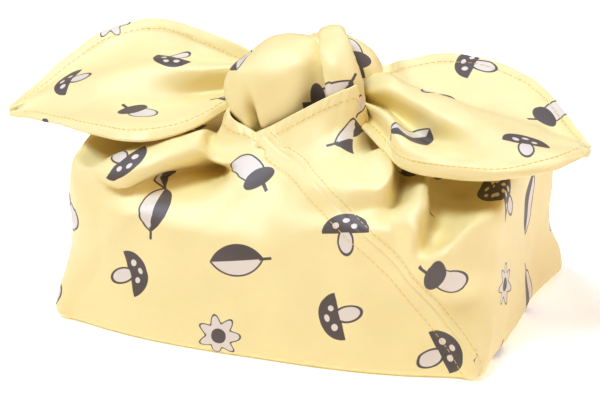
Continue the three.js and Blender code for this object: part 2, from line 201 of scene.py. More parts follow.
def oval(x, y, half_width, half_height):
    """The rough distance outside an oval: its scaled radius less one, times its smaller half size."""
    across, up = x / half_width, y / half_height
    return ((across * across + up * up).math("SQRT") - 1.0) * min(half_width, half_height)


def bar(x, y, half_width, half_height):
    """The distance outside a straight bar."""
    return (abs(x) - half_width).most(abs(y) - half_height)


def acorn(x, y):
    """The grey and the white part of an acorn: an oval nut under a flat oval cap with a stalk."""
    nut = oval(x, y + 2.2, 5.6, 7.4)
    cap = oval(x, y - 4.2, 7.6, 4.0)
    stalk = bar(x - (y - 8.0) * 0.25, y - 9.6, 0.8, 2.4)
    return cap.least(stalk), nut


def leaf(x, y):
    """Two crossing circles make a pointed leaf: grey on one side of its rib and white on the other."""
    left_round = ((x + 7.0) * (x + 7.0) + y * y).math("SQRT")
    right_round = ((x - 7.0) * (x - 7.0) + y * y).math("SQRT")
    blade = left_round.most(right_round) - 13.6
    stalk = bar(x, y + 12.6, 0.55, 2.6)
    return blade.most(-x).least(stalk), blade


def mushroom(x, y):
    """A grey half-oval cap with white spots, on a white stalk."""
    cap = oval(x, y, 9.6, 8.0).most(-y)
    side_spots = oval(x + 4.2, y - 3.0, 1.5, 1.4).least(oval(x - 3.6, y - 2.6, 1.3, 1.2))
    spots = side_spots.least(oval(x, y - 5.2, 1.5, 1.1))
    stalk = oval(x, y + 4.0, 3.2, 5.6)
    return cap.most(-spots), stalk.least(cap)


def daisy(x, y):
    """White petals, as a circle whose radius swells seven times round it, with a grey middle."""
    petals = (x * x + y * y).math("SQRT") - (y.math("ARCTAN2", x) * 7.0).sine() * 1.7 - 7.2
    return oval(x, y, 3.0, 3.0), petals


MOTIFS = (acorn, leaf, mushroom, daisy)
FAR_OUTSIDE = 100.0


def make_cloth():
    """The cloth's material: print over yellow, with a woven bump, slight unevenness and a soft sheen."""
    cloth = painted("yellow print cotton", CLOTH_LOOKS)
    tree = cloth.node_tree
    new, link = tree.nodes.new, tree.links.new
    shader = tree.nodes["Principled BSDF"]
    chart = new("ShaderNodeUVMap")
    chart.uv_map = "cloth"
    parts = new("ShaderNodeSeparateXYZ")
    link(chart.outputs["UV"], parts.inputs[0])
    u = Field(tree, parts.outputs["X"]) * 1000.0
    v = Field(tree, parts.outputs["Y"]) * 1000.0

    # The print's cells stand in columns, every other one dropped by half a cell
    column = (u / PRINT_PITCH[0]).floor()
    drop = column.math("MODULO", 2.0) * 0.5
    row = (v / PRINT_PITCH[1] + drop).floor()
    corner = new("ShaderNodeCombineXYZ")
    link(column.socket, corner.inputs["X"])
    link(row.socket, corner.inputs["Y"])
    chance = new("ShaderNodeTexWhiteNoise")
    chance.noise_dimensions = "2D"
    link(corner.outputs[0], chance.inputs["Vector"])
    dice = new("ShaderNodeSeparateXYZ")
    link(chance.outputs["Color"], dice.inputs[0])
    turn = Field(tree, dice.outputs["X"]) * (2.0 * math.pi)
    kind = (Field(tree, dice.outputs["Y"]) * (len(MOTIFS) - 0.001)).floor()
    stray = (Field(tree, chance.outputs["Value"]) - 0.5) * PRINT_STRAY

    # The motif's own millimetres: from the middle of the cell, turned by the cell's chance
    x = u - (column + 0.5) * PRINT_PITCH[0] + stray
    y = v - (row - drop + 0.5) * PRINT_PITCH[1] - stray
    cos, sin = turn.math("COSINE"), turn.sine()
    along, up = x * cos + y * sin, y * cos - x * sin

    # Every kind of motif is drawn in every cell, and all but the cell's own kind stand far outside it
    grey, white = None, None
    for number, motif in enumerate(MOTIFS):
        far = abs(kind - float(number)) * FAR_OUTSIDE
        motif_grey, motif_white = motif(along, up)
        motif_grey = motif_grey + far
        motif_white = motif_white + far
        grey = motif_grey if grey is None else grey.least(motif_grey)
        white = motif_white if white is None else white.least(motif_white)
    grey = grey.least(abs(white) - PRINT_OUTLINE)

    def ink(distance):
        """One inside a shape and zero outside: 0.5 - distance / INK_EDGE, kept between zero and one."""
        return (distance / -INK_EDGE + 0.5).least(1.0).most(0.0)

    unevenness = new("ShaderNodeTexNoise")
    unevenness.inputs["Scale"].default_value = TONE_SCALE
    unevenness.inputs["Detail"].default_value = TONE_DETAIL
    link(chart.outputs["UV"], unevenness.inputs["Vector"])
    tone = Field(tree, unevenness.outputs["Fac"]) * TONE_SPREAD + TONE_LOWEST

    def mix(below, above, amount):
        """One colour over another by an amount; the one below is a colour or a node's output. A Mix node
        keeps its colours in the inputs 6 and 7 and in the output 2."""
        blend = new("ShaderNodeMix")
        blend.data_type = "RGBA"
        link(amount.socket, blend.inputs["Factor"])
        if isinstance(below, tuple):
            blend.inputs[6].default_value = below
        else:
            link(below, blend.inputs[6])
        blend.inputs[7].default_value = above
        return blend.outputs[2]

    printed = mix(mix(CLOTH_YELLOW, PRINT_WHITE, ink(white)), PRINT_GREY, ink(grey))
    shade = new("ShaderNodeVectorMath")
    shade.operation = "SCALE"
    link(printed, shade.inputs[0])
    link(tone.socket, shade.inputs["Scale"])
    link(shade.outputs[0], shader.inputs["Base Color"])

    # Weave: threads over and under, as the product of two sine waves
    pace = 2.0 * math.pi / THREAD_PITCH
    weave = (u * pace).sine() * (v * pace).sine()
    bump = new("ShaderNodeBump")
    bump.inputs["Strength"].default_value = WEAVE_STRENGTH
    bump.inputs["Distance"].default_value = WEAVE_HEIGHT
    link(weave.socket, bump.inputs["Height"])
    link(bump.outputs["Normal"], shader.inputs["Normal"])
    return cloth


cloth = make_cloth()

# Pouch: the middle of the strip, seamed into a bag round what it carries. It has a flat base, walls that
# bow out a little, and a roof gathered in soft folds to a throat whose hemmed edge dips in two V notches.
BAG_LENGTH = 191.0
BAG_DEPTH = 128.0
SHOULDER_HEIGHT = 60.0
THROAT_LENGTH = 62.0
THROAT_DEPTH = 50.0
BOW_POWER = 3.0
CLOTH_THICKNESS = 0.8
# The hem: its thickness, its width and the step down to the single cloth, the stitch row's distance from
# the edge, and the depth and half width of the pinch that it makes
HEM_THICKNESS = 1.7
HEM_WIDTH = 6.5
HEM_STEP = 1.4
STITCH_INSET = 5.6
STITCH_PINCH = 0.4
PINCH_WIDTH = 0.6
# The small waves along a hem: their height, where they are strongest and how far they reach from there.
# Each is a sine of its own size and pace, bent by a slower one
PUCKER = 0.16
PUCKER_PLACE = 3.8
PUCKER_REACH = 2.6
PUCKER_WAVES = [
    dict(size=1, pace=1.1, bend=1.5, bend_pace=0.23),
    dict(size=0.6, pace=2.3, bend=2, bend_pace=0.31),
]
# The cloth's small unevenness: the height of each wave and the way that it runs, in radians a millimetre
RIPPLES = [
    dict(height=0.24, way=(0.17, 0.05, 0.12)),
    dict(height=0.2, way=(-0.09, 0.12, 0.2)),
    dict(height=0.13, way=(0.27, -0.14, -0.16)),
    dict(height=0.09, way=(0.05, 0.33, -0.3)),
]
RIPPLE_BEND = 1.6
RIPPLE_BEND_PACE = 0.6
RIPPLE_FADE = 12.0
# Where on the print the pouch is cut from
POUCH_PRINT = (22.0, 12.0)

# Its levels from the floor up: height, half length, half depth, how far the long sides bow out,
# corner radius, and the rows up to the next level
LEVELS = {
    "foot": dict(height=0, length=BAG_LENGTH / 2 - 2, depth=BAG_DEPTH / 2 - 2, bow=12, corner=6, rows=4),
    "heel": dict(height=3, length=BAG_LENGTH / 2 + 1, depth=BAG_DEPTH / 2, bow=12, corner=8, rows=12),
    "wall": dict(height=30, length=96, depth=63, bow=7, corner=22, rows=14),
    "shoulder": dict(height=SHOULDER_HEIGHT - 13, length=93, depth=61, bow=5, corner=18, rows=12),
    "brow": dict(height=SHOULDER_HEIGHT - 1, length=88, depth=57, bow=1, corner=16, rows=18),
    "roof": dict(height=SHOULDER_HEIGHT + 10, length=60, depth=44, bow=1, corner=24, rows=14),
    "collar": dict(height=SHOULDER_HEIGHT + 18, length=34, depth=32, bow=2, corner=14, rows=20),
    "mouth": dict(height=0, length=THROAT_LENGTH / 2, depth=THROAT_DEPTH / 2, bow=2, corner=8, rows=0),
}
# The grid: columns of half a short side, a corner and half a long side, rows of the floor, the close rows
# at the hem, as marks counted down from the mouth's edge, and the most of the last step that they take up
SIDE_COLUMNS = 22
CORNER_COLUMNS = 16
FRONT_COLUMNS = 58
FLOOR_ROWS = 8
HEM_MARKS = np.array([11, 9, 8.2, 7.6, 7.1, 6.6, 6.2, 5.8, 5.4, 5, 4.4, 3.4, 2.4, 1.6, 1, 0.6, 0.3, 0.1, 0])
HEM_SHARE = 0.75
# How much of the hem's added thickness stands outward, and how far in from the edge it is whole
HEM_OUTWARD = 0.35
HEM_WHOLE = 2.0
FAR_FROM_EDGE = 99.0

# The mouth edge's height by compass angle from +X; the back half repeats the front, turned half round
MOUTH_EDGE = [(180, 82), (208, 91), (238, 83), (320, 109), (336, 86), (360, 82)]

# Folds: the smooth cloth along one line comes to lie in another place, each through three points, and the
# cloth beside it follows within about the width
POUCH_FOLDS = {
    "high shoulder over the short side": dict(
        width=18, cloth=[(-87, -44, 60), (-88, -8, 60), (-87, 24, 60)],
        place=[(-92, -46, 66), (-93, -10, 79), (-91, 24, 74)],
    ),
    "lit front shoulder": dict(
        width=9, cloth=[(-64, -60, 54), (-34, -60, 55), (0, -59, 57)],
        place=[(-64, -64, 51), (-36, -63, 51), (0, -60, 55)],
    ),
    "floor of the left hollow": dict(
        width=8, cloth=[(-60, -56, 59), (-40, -55, 61), (-15, -52, 64)],
        place=[(-58, -59, 56), (-40, -54, 58), (-17, -51, 62)],
    ),
    "undercut of the left ridge": dict(
        width=8, cloth=[(-64, -51, 62), (-47, -48, 66), (-32, -44, 70)],
        place=[(-61, -52, 60), (-49, -37, 63), (-34, -23, 64)],
    ),
    "face of the left ridge": dict(
        width=8, cloth=[(-69, -46, 64), (-53, -39, 69), (-36, -36, 73)],
        place=[(-66, -60, 62), (-53, -56, 71), (-37, -42, 76)],
    ),
    "crest of the left ridge": dict(
        width=8, cloth=[(-77, -42, 63), (-60, -33, 69), (-39, -28, 74)],
        place=[(-79, -53, 67), (-58, -45, 78), (-39, -30, 82)],
    ),
    "valley behind the left ridge": dict(
        width=9, cloth=[(-83, -36, 62), (-70, -24, 67), (-50, -14, 72)],
        place=[(-86, -40, 65), (-70, -25, 70), (-50, -12, 73)],
    ),
    "left bulge of the throat": dict(
        width=7, cloth=[(-31, -20, 88), (-32, -27, 78), (-27, -36, 74)],
        place=[(-32, -21, 89), (-37, -30, 77), (-31, -38, 71)],
    ),
    "belly of the throat": dict(
        width=11, cloth=[(0, -34, 79), (24, -33, 77), (38, -31, 73)],
        place=[(0, -36, 79), (26, -45, 80), (43, -42, 82)],
    ),
    "lower edge of the belly": dict(
        width=9, cloth=[(4, -44, 71), (28, -43, 71), (44, -40, 71)],
        place=[(4, -46, 71), (31, -56, 73), (50, -52, 76)],
    ),
    "trough under the belly": dict(
        width=8, cloth=[(6, -51, 66), (30, -50, 66), (48, -49, 67)],
        place=[(6, -53, 65), (31, -58, 66), (48, -54, 68)],
    ),
    "front shoulder under the trough": dict(
        width=9, cloth=[(8, -58, 58), (34, -58, 58), (58, -58, 58)],
        place=[(8, -60, 57), (34, -63, 59), (60, -63, 61)],
    ),
    "right edge of the belly": dict(
        width=7, cloth=[(40, -27, 74), (47, -33, 71), (50, -40, 69)],
        place=[(42, -34, 86), (50, -40, 81), (52, -48, 76)],
    ),
    "valley beside the belly": dict(
        width=7, cloth=[(47, -22, 73), (54, -30, 70), (56, -42, 69)],
        place=[(42, -22, 76), (50, -30, 71), (54, -45, 66)],
    ),
    "left flank of the rolled ridge": dict(
        width=7, cloth=[(59, -27, 70), (60, -43, 67), (61, -54, 63)],
        place=[(56, -30, 76), (60, -46, 73), (60, -60, 67)],
    ),
    "crest of the rolled ridge": dict(
        width=7, cloth=[(65, -33, 68), (66, -46, 66), (66, -58, 57)],
        place=[(64, -36, 77), (69, -51, 73), (69, -64, 63)],
    ),
    "undercut of the rolled ridge": dict(
        width=7, cloth=[(72, -30, 66), (71, -44, 65), (70, -58, 57)],
        place=[(63, -24, 68), (67, -42, 65), (69, -59, 58)],
    ),
    "hollow beside the rolled ridge": dict(
        width=9, cloth=[(79, -26, 64), (78, -44, 64), (76, -59, 55)],
        place=[(75, -22, 64), (79, -43, 64), (76, -59, 55)],
    ),
    "slanting shoulder at the right": dict(
        width=11, cloth=[(67, -62, 47), (83, -56, 56), (87, -42, 60)],
        place=[(68, -67, 50), (85, -61, 62), (95, -43, 68)],
    ),
    "face below that shoulder": dict(
        width=12, cloth=[(76, -64, 32), (87, -58, 40), (93, -47, 46)],
        place=[(76, -65, 32), (89, -60, 40), (96, -46, 46)],
    ),
    "sharp front right corner": dict(
        width=9, cloth=[(96, -62, 3), (94, -60, 14), (90, -57, 30)],
        place=[(98, -65, 3), (95, -61, 14), (90, -57, 30)],
    ),
    "front left corner": dict(
        width=9, cloth=[(-94, -62, 3), (-93, -60, 14), (-90, -57, 30)],
        place=[(-95, -64, 3), (-94, -61, 14), (-90, -57, 30)],
    ),
    "dent in the right wall": dict(
        width=22, cloth=[(97, 25, 4), (97, 25, 20), (94, 17, 44)],
        place=[(94, 26, 4), (93, 24, 20), (93, 18, 44)],
    ),
}
LINE_SAMPLES = 9
SMOOTHING = 0.03
RELAX_ROUNDS = 300
RELAX_STEP = 4


def curve_through(points, at):
    """Centripetal Catmull-Rom curves through points, an array (stations, curves, 3), at parameters.

    at counts stations, one row for each row of the answer, and may differ from curve to curve.
    """
    points = np.asarray(points, float)
    at = np.asarray(at, float)
    at = np.broadcast_to(at[:, None] if at.ndim == 1 else at, (len(at), points.shape[1]))
    ends = np.concatenate([2 * points[:1] - points[1:2], points, 2 * points[-1:] - points[-2:-1]])
    gaps = np.linalg.norm(np.diff(ends, axis=0), axis=2) ** 0.5
    gaps = np.where(gaps < 0.01, 1.0, gaps)
    start = np.clip(at.astype(int), 0, len(points) - 2)
    t = (at - start)[..., None]
    curve = np.arange(points.shape[1])[None, :]
    p0, p1, p2, p3 = (ends[start + k, curve] for k in range(4))
    g0, g1, g2 = (gaps[start + k, curve][..., None] for k in range(3))
    leave = g1 * ((p1 - p0) / g0 - (p2 - p0) / (g0 + g1) + (p2 - p1) / g1)
    reach = g1 * ((p2 - p1) / g1 - (p3 - p1) / (g1 + g2) + (p3 - p2) / g2)
    return (
        p1 + leave * t + (-3 * p1 + 3 * p2 - 2 * leave - reach) * t**2
        + (2 * p1 - 2 * p2 + leave + reach) * t**3
    )


def outline(level):
    """A level's outline, anticlockwise from +X: short side, corner arc, and the long side bowed out by
    bow * (1 - share ** BOW_POWER), repeated for the four quarters."""
    length, depth, corner = level["length"], level["depth"], level["corner"]
    side = np.arange(SIDE_COLUMNS) / SIDE_COLUMNS
    turn = np.pi / 2 * np.arange(CORNER_COLUMNS) / CORNER_COLUMNS
    share = 1 - np.arange(FRONT_COLUMNS + 1) / FRONT_COLUMNS
    x = np.concatenate([
        np.full(SIDE_COLUMNS, length),
        length - corner + corner * np.cos(turn),
        (length - corner) * share,
    ])
    y = np.concatenate([
        (depth - corner) * side,
        depth - corner + corner * np.sin(turn),
        depth + level["bow"] * (1 - share**BOW_POWER),
    ])
    half_x = np.concatenate([x, -x[-2::-1]])[:-1]
    half_y = np.concatenate([y, y[-2::-1]])[:-1]
    points = np.stack([np.concatenate([half_x, -half_x]), np.concatenate([half_y, -half_y])], axis=1)
    return np.column_stack([points, np.full(len(points), float(level["height"]))])


def mouth_height(points):
    """The mouth edge's height at points of the throat, straight between the table's angles."""
    angle = np.degrees(np.arctan2(points[:, 1], points[:, 0])) % 180 + 180
    return np.interp(angle, *zip(*MOUTH_EDGE))


def folded(grid, folds, sides=((1, 1, 1), (-1, -1, 1))):
    """The grid with its folds, repeated for each side: a sign for every axis.

    The move at a point is the sum of strength * exp(-(distance / width)^2) over samples of every cloth
    line, with the strengths solved together so that each line comes to lie in its place.
    """
    share = np.linspace(0, 2, LINE_SAMPLES)
    centres, moves, widths = [], [], []
    for fold in folds.values():
        for side in sides:
            line, target = (
                curve_through(np.array(fold[column])[:, None] * side, share)[:, 0]
                for column in ("cloth", "place")
            )
            centres.append(line)
            moves.append(target - line)
            widths.append(np.full(LINE_SAMPLES, float(fold["width"])))
    centres, moves, widths = np.concatenate(centres), np.concatenate(moves), np.concatenate(widths)

    def pull(points):
        """How strongly each sample moves each point."""
        square = (points**2).sum(axis=1)[:, None] + (centres**2).sum(axis=1) - 2 * points @ centres.T
        return np.exp(-square / widths**2)

    strengths = np.linalg.solve(pull(centres) + SMOOTHING * np.eye(len(centres)), moves)
    return grid + (pull(grid.reshape(-1, 3)) @ strengths).reshape(grid.shape)


def unit_of(vectors):
    """Vectors brought to the length of one."""
    return vectors / np.maximum(np.linalg.norm(vectors, axis=-1, keepdims=True), 1e-9)


def way_along(points, axis=0):
    """The way along a line, or along each line of a grid that runs that way: its steps' lengths, summed."""
    first = np.take(points, [0], axis=axis)
    return np.cumsum(np.linalg.norm(np.diff(points, axis=axis, prepend=first), axis=-1), axis=axis)


def facing(grid, around):
    """The unit normals of a grid, facing out: its slope across, anticlockwise, crossed with its slope up."""
    if around:
        across = np.roll(grid, -1, axis=1) - np.roll(grid, 1, axis=1)
    else:
        across = np.gradient(grid, axis=1)
    return unit_of(np.cross(across, np.gradient(grid, axis=0)))


def cloth_depth(distance):
    """The cloth's thickness at a distance from its free edge: doubled in the hem, rounded off at the
    edge as a half circle, and pinched along the stitch row."""
    hem = np.clip((HEM_WIDTH + HEM_STEP / 2 - distance) / HEM_STEP, 0, 1)
    depth = CLOTH_THICKNESS + (HEM_THICKNESS - CLOTH_THICKNESS) * hem * hem * (3 - 2 * hem)
    depth = depth - STITCH_PINCH * np.exp(-(((distance - STITCH_INSET) / PINCH_WIDTH) ** 2))
    rounding = 1 - np.clip(distance / (HEM_THICKNESS / 2), 0, 1)
    return depth * np.sqrt(np.maximum(1 - rounding**2, 0))


def pucker(distance, along):
    """The small waves that a hem's stitches draw the cloth into, at a distance from the free edge and a
    way along it: the sum of size * sin(pace * way + bend * sin(bend_pace * way)) over the waves."""
    height = 0
    for wave in PUCKER_WAVES:
        bend = wave["bend"] * np.sin(along * wave["bend_pace"])
        height = height + wave["size"] * np.sin(along * wave["pace"] + bend)
    return PUCKER * height * np.exp(-(((distance - PUCKER_PLACE) / PUCKER_REACH) ** 2))


def ripple(points):
    """The small unevenness of hand-tied cloth, as a height at each point: the sum of
    height * sin(way . point + bend) over the waves, each bent by the next one. It fades out at the floor."""
    total = 0
    for wave, following in zip(RIPPLES, RIPPLES[1:] + RIPPLES[:1]):
        bend = RIPPLE_BEND * np.sin(points @ np.array(following["way"]) * RIPPLE_BEND_PACE)
        total = total + wave["height"] * np.sin(points @ np.array(wave["way"]) + bend)
    return total * np.clip(points[..., 2] / RIPPLE_FADE, 0, 1)


def piece(name, points, faces, uv, material):
    """A mesh on the bag from points in millimetres, faces as rows of point numbers, and a UV point in
    metres for each corner of each face."""
    mesh = bpy.data.meshes.new(name)
    mesh.from_pydata((points * 0.001).tolist(), [], faces.tolist())
    mesh.uv_layers.new(name="cloth").data.foreach_set("uv", uv.ravel())
    mesh.shade_smooth()
    mesh.materials.append(material)
    thing = bpy.data.objects.new(name, mesh)
    bpy.context.scene.collection.objects.link(thing)
    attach(thing, "root")
    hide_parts("furoshiki_cloth")
    return thing


POLE_REACH = 1e-6


def close_poles(mesh):
    """Joins the points that lie in one place, such as those of a row that is a pole."""
    joined = bmesh.new()
    joined.from_mesh(mesh)
    bmesh.ops.remove_doubles(joined, verts=joined.verts, dist=POLE_REACH)
    joined.to_mesh(mesh)
    joined.free()


def numbered(rows, columns, around):
    """The numbers of a grid's points, row by row, with the first column once more at the end if it closes."""
    index = np.arange(rows * columns).reshape(rows, columns)
    return np.concatenate([index, index[:, :1]], axis=1) if around else index


def quads_of(index):
    """The faces of a grid of point numbers, on the side that its normals point to."""
    return np.stack([index[:-1, :-1], index[:-1, 1:], index[1:, 1:], index[1:, :-1]], axis=-1).reshape(-1, 4)


def cloth_piece(name, outer, inner, charts, chart_of=0, around=False, pole=False):
    """A closed sheet of cloth from its two skins, grids of points in millimetres.

    charts holds a UV grid in metres for each chart, and chart_of the number of the chart of each column of
    faces. around joins the last column to the first, and pole says that the first row is one point.
    """
    skin = outer.shape[0] * outer.shape[1]
    index = numbered(*outer.shape[:2], around)
    chart_of = np.broadcast_to(chart_of, (index.shape[0] - 1, index.shape[1] - 1))
    quads = quads_of(index)
    faces = [quads, quads[:, ::-1] + skin]
    chart = [chart_of.ravel(), chart_of.ravel()]
    edges = [(index[-1, ::-1], chart_of[-1, ::-1])]
    if not pole:
        edges.append((index[0], chart_of[0]))
    if not around:
        edges += [(index[:, -1], chart_of[:, -1]), (index[::-1, 0], chart_of[::-1, 0])]
    for line, line_chart in edges:
        faces.append(np.stack([line[:-1] + skin, line[1:] + skin, line[1:], line[:-1]], axis=1))
        chart.append(line_chart)
    faces = np.concatenate(faces)
    flat = charts.reshape(len(charts), skin, 2)
    uv = flat[np.repeat(np.concatenate(chart), 4), faces.ravel() % skin]
    thing = piece(name, np.concatenate([outer.reshape(-1, 3), inner.reshape(-1, 3)]), faces, uv, cloth)
    if pole:
        close_poles(thing.data)
    return thing


def relaxed(charts, grids, shared=0):
    """Charts with the cloth's own lengths, on every fourth row and column or so and straight between them.

    Each is eased, round by round, by the mean misfit of the threads and diagonals that meet at every
    point: half of gap * (1 - length / |gap|) at either end. Neighbouring charts keep their first shared
    rows joined. Charts and grids are lists of grids of the same shapes, in millimetres.
    """
    coarse, ties, marks = [], [], []
    for chart, grid in zip(charts, grids):
        rows, columns = (
            np.unique(np.linspace(0, n - 1, n // RELAX_STEP + 1).astype(int)) for n in grid.shape[:2]
        )
        points = grid[rows][:, columns]
        up, right = np.diff(points, axis=0), np.diff(points, axis=1)
        up_length = np.diff(way_along(grid)[rows][:, columns], axis=0)
        right_length = np.diff(way_along(grid, axis=1)[rows][:, columns], axis=1)
        up = up * (up_length / np.maximum(np.linalg.norm(up, axis=2), 1e-6))[..., None]
        right = right * (right_length / np.maximum(np.linalg.norm(right, axis=2), 1e-6))[..., None]
        ties.append([
            (np.s_[:-1], np.s_[1:], up_length),
            (np.s_[:, :-1], np.s_[:, 1:], right_length),
            (np.s_[:-1, :-1], np.s_[1:, 1:], np.linalg.norm(up[:, 1:] + right[:-1], axis=2)),
            (np.s_[:-1, 1:], np.s_[1:, :-1], np.linalg.norm(up[:, :-1] - right[:-1], axis=2)),
        ])
        coarse.append(chart[rows][:, columns].copy())
        marks.append((rows, columns))
    joins = [(k, k + 1, coarse[k + 1][:, 0] - coarse[k][:, -1]) for k in range(len(charts) - 1)]
    for _ in range(RELAX_ROUNDS):
        for flat, chart_ties in zip(coarse, ties):
            move = np.zeros_like(flat)
            count = np.zeros(flat.shape[:2])
            for start, end, length in chart_ties:
                gap = flat[end] - flat[start]
                misfit = gap * (0.5 - 0.5 * length / np.maximum(np.linalg.norm(gap, axis=2), 1e-6))[..., None]
                move[start] += misfit
                move[end] -= misfit
                count[start] += 1
                count[end] += 1
            flat += move / count[..., None]
        for k, after, offset in joins:
            rows = marks[k][0] < shared
            middle = (coarse[k][rows, -1] + coarse[after][rows, 0] - offset[rows]) / 2
            coarse[k][rows, -1] = middle
            coarse[after][rows, 0] = middle + offset[rows]
    eased = []
    for chart, flat, (rows, columns) in zip(charts, coarse, marks):
        every_row, every_column = (np.arange(n) for n in chart.shape[:2])
        tall = [[np.interp(every_row, rows, line) for line in flat[..., k].T] for k in (0, 1)]
        wide = [[np.interp(every_column, columns, line) for line in np.transpose(part)] for part in tall]
        eased.append(np.stack(wide, axis=-1))
    return eased


# The rings from the floor's rim to the mouth, with close rows at the hem
rings = np.stack([outline(level) for level in LEVELS.values()])
rings[-1, :, 2] = mouth_height(rings[-1])
rows = [level["rows"] for level in LEVELS.values()]
collar, mouth = len(rows) - 2, len(rows) - 1
last = np.linalg.norm(rings[mouth] - rings[collar], axis=1)
at = np.concatenate([k + np.arange(rows[k]) / rows[k] for k in range(collar)])
at = np.repeat(at[:, None], rings.shape[1], axis=1)
top = mouth - HEM_MARKS[:, None] * np.minimum(1 / last, HEM_SHARE / HEM_MARKS[0])
below = np.linspace(0, 1, rows[collar] + 1)[:-1, None] * (top[0] - collar) + collar
at = np.concatenate([at, below, top])
smooth = curve_through(rings, at)
skin = folded(smooth, POUCH_FOLDS)

# Its charts, one for each side, in order -X, front, +X and back. Across is the way round the walls, which
# goes on over the roof along that side, and up is what is left of each step: sqrt(step^2 - across^2). Then
# they are eased, so that the print keeps its scale on the folds
wall_row, shoulder_row = sum(rows[:2]), sum(rows[:3])
ring = smooth[wall_row]
way = way_along(ring)
girth = way[-1] + np.linalg.norm(ring[-1] - ring[0])
count = smooth.shape[1]
bound = SIDE_COLUMNS + CORNER_COLUMNS // 2
starts = [count // 2 - bound, count // 2 + bound, count - bound, count + bound, 3 * count // 2 - bound]
sides = [(0, -1, 0), (1, 0, 0), (0, 1, 0), (-1, 0, 0)]
charts, grids, columns_of = [], [], []
for start, end, axis in zip(starts, starts[1:], sides):
    columns = np.arange(start, end + 1)
    part = smooth[:, columns % count]
    along = part @ np.array(axis, float)
    beyond = along - np.where(np.abs(along) < np.abs(along[shoulder_row]), along[shoulder_row], along)
    step = np.linalg.norm(np.diff(part, axis=0, prepend=part[:1]), axis=2)
    sideways = np.diff(along, axis=0, prepend=along[:1])
    climb = np.sqrt(np.maximum(step**2 - sideways**2, 0)).cumsum(axis=0)
    charts.append(np.stack([way[columns % count] + girth * (columns // count) + beyond, climb], axis=-1))
    grids.append(skin[:, columns % count])
    columns_of.append(columns % count)
eased = relaxed(charts, grids, shoulder_row)
charts = np.zeros((4,) + skin.shape[:2] + (2,))
side_of = np.zeros(count, int)
for k, (chart, columns) in enumerate(zip(eased, columns_of)):
    charts[k][:, columns] = chart + POUCH_PRINT
    side_of[columns[:-1]] = k

# The floor inside the foot's ring, and the inner skin
floor_rows = skin[:1] * np.linspace(0, 1, FLOOR_ROWS + 1)[:-1, None, None]
grid = np.concatenate([floor_rows, skin])
normal = np.concatenate([np.broadcast_to([0.0, 0.0, -1.0], floor_rows.shape), facing(skin, True)])
from_edge = np.concatenate([np.full(floor_rows.shape[:2], FAR_FROM_EDGE), way_along(skin[::-1])[::-1]])
depth = cloth_depth(from_edge)[..., None]
whole = cloth_depth(np.maximum(from_edge, HEM_WHOLE))[..., None]
outer = grid + normal * ((depth - whole) / 2 + (whole - CLOTH_THICKNESS) * HEM_OUTWARD)
outer = outer + normal * (pucker(from_edge, way_along(skin[-1])) + ripple(outer))[..., None]
inner = outer - normal * depth
inner[..., 2] = np.maximum(inner[..., 2], CLOTH_THICKNESS)
flat_chart = np.repeat(floor_rows[None, ..., :2], 4, axis=0)
all_charts = np.concatenate([flat_chart, charts], axis=1) * 0.001
pouch = cloth_piece("pouch", outer, inner, all_charts, side_of, around=True, pole=True)

# Stitching: rows of straight stitches in yellow thread, each a short rounded bar that sinks a little
# into the cloth.
THREAD_LOOKS = {"Base Color": (0.90, 0.71, 0.30, 1.0), "Roughness": 0.6}
STITCH_LENGTH = 2.0
STITCH_PITCH = 2.7
THREAD_RADIUS = 0.19
# A stitch's sides, and its shape from end to end: half lengths along it and shares of its radius
STITCH_SIDES = 6
STITCH_SHAPE = [(-1, 0.02), (-0.93, 0.6), (-0.75, 1), (0.75, 1), (0.93, 0.6), (1, 0.02)]

thread = painted("yellow sewing thread", THREAD_LOOKS)


def stitch_rows(name, lines):
    """Stitches along lines, each given by its points and normals: at every pitch a capsule of six sides,
    from half a stitch before its place to half a stitch after."""
    middles, alongs, ups = [], [], []
    for path, normals in lines:
        length = way_along(path)
        at = np.arange(STITCH_PITCH, length[-1] - STITCH_LENGTH, STITCH_PITCH)[:, None]
        at = at + np.array([-0.5, 0, 0.5]) * STITCH_LENGTH
        point = np.stack([np.interp(at, length, path[:, k]) for k in range(3)], axis=-1)
        up = np.stack([np.interp(at[:, 1], length, normals[:, k]) for k in range(3)], axis=-1)
        middles.append(point[:, 1])
        alongs.append((point[:, 2] - point[:, 0]) / STITCH_LENGTH)
        ups.append(unit_of(up))
    middle, along, up = (np.concatenate(part)[:, None] for part in (middles, alongs, ups))
    side = np.cross(along, up)
    turn = 2 * np.pi * np.arange(STITCH_SIDES) / STITCH_SIDES
    ring = np.stack([np.cos(turn), np.sin(turn)], axis=1)
    local = np.array([(way, a * size, b * size) for way, size in STITCH_SHAPE for a, b in ring])
    points = middle + along * local[None, :, :1] * STITCH_LENGTH / 2
    points = points + (side * local[None, :, 1:2] + up * local[None, :, 2:]) * THREAD_RADIUS

    # One stitch's faces: the grid round it, and two quads that close the ring of six at either end
    index = numbered(len(STITCH_SHAPE), STITCH_SIDES, True)
    caps = [index[0, [0, 5, 4, 3]], index[0, [3, 2, 1, 0]], index[-1, [0, 1, 2, 3]], index[-1, [3, 4, 5, 0]]]
    faces = np.concatenate([quads_of(index), caps])
    faces = (np.arange(len(points))[:, None, None] * len(local) + faces).reshape(-1, 4)
    return piece(name, points.reshape(-1, 3), faces, np.zeros((faces.size, 2)), thread)


# The hem's stitches at the mouth, inside and outside
every = np.arange(count + 1) % count
row = np.abs(from_edge - STITCH_INSET).argmin(axis=0)[every]
stitch_rows("mouth_stitches", [
    (outer[row, every], normal[row, every]),
    (inner[row, every][::-1], -normal[row, every][::-1]),
])

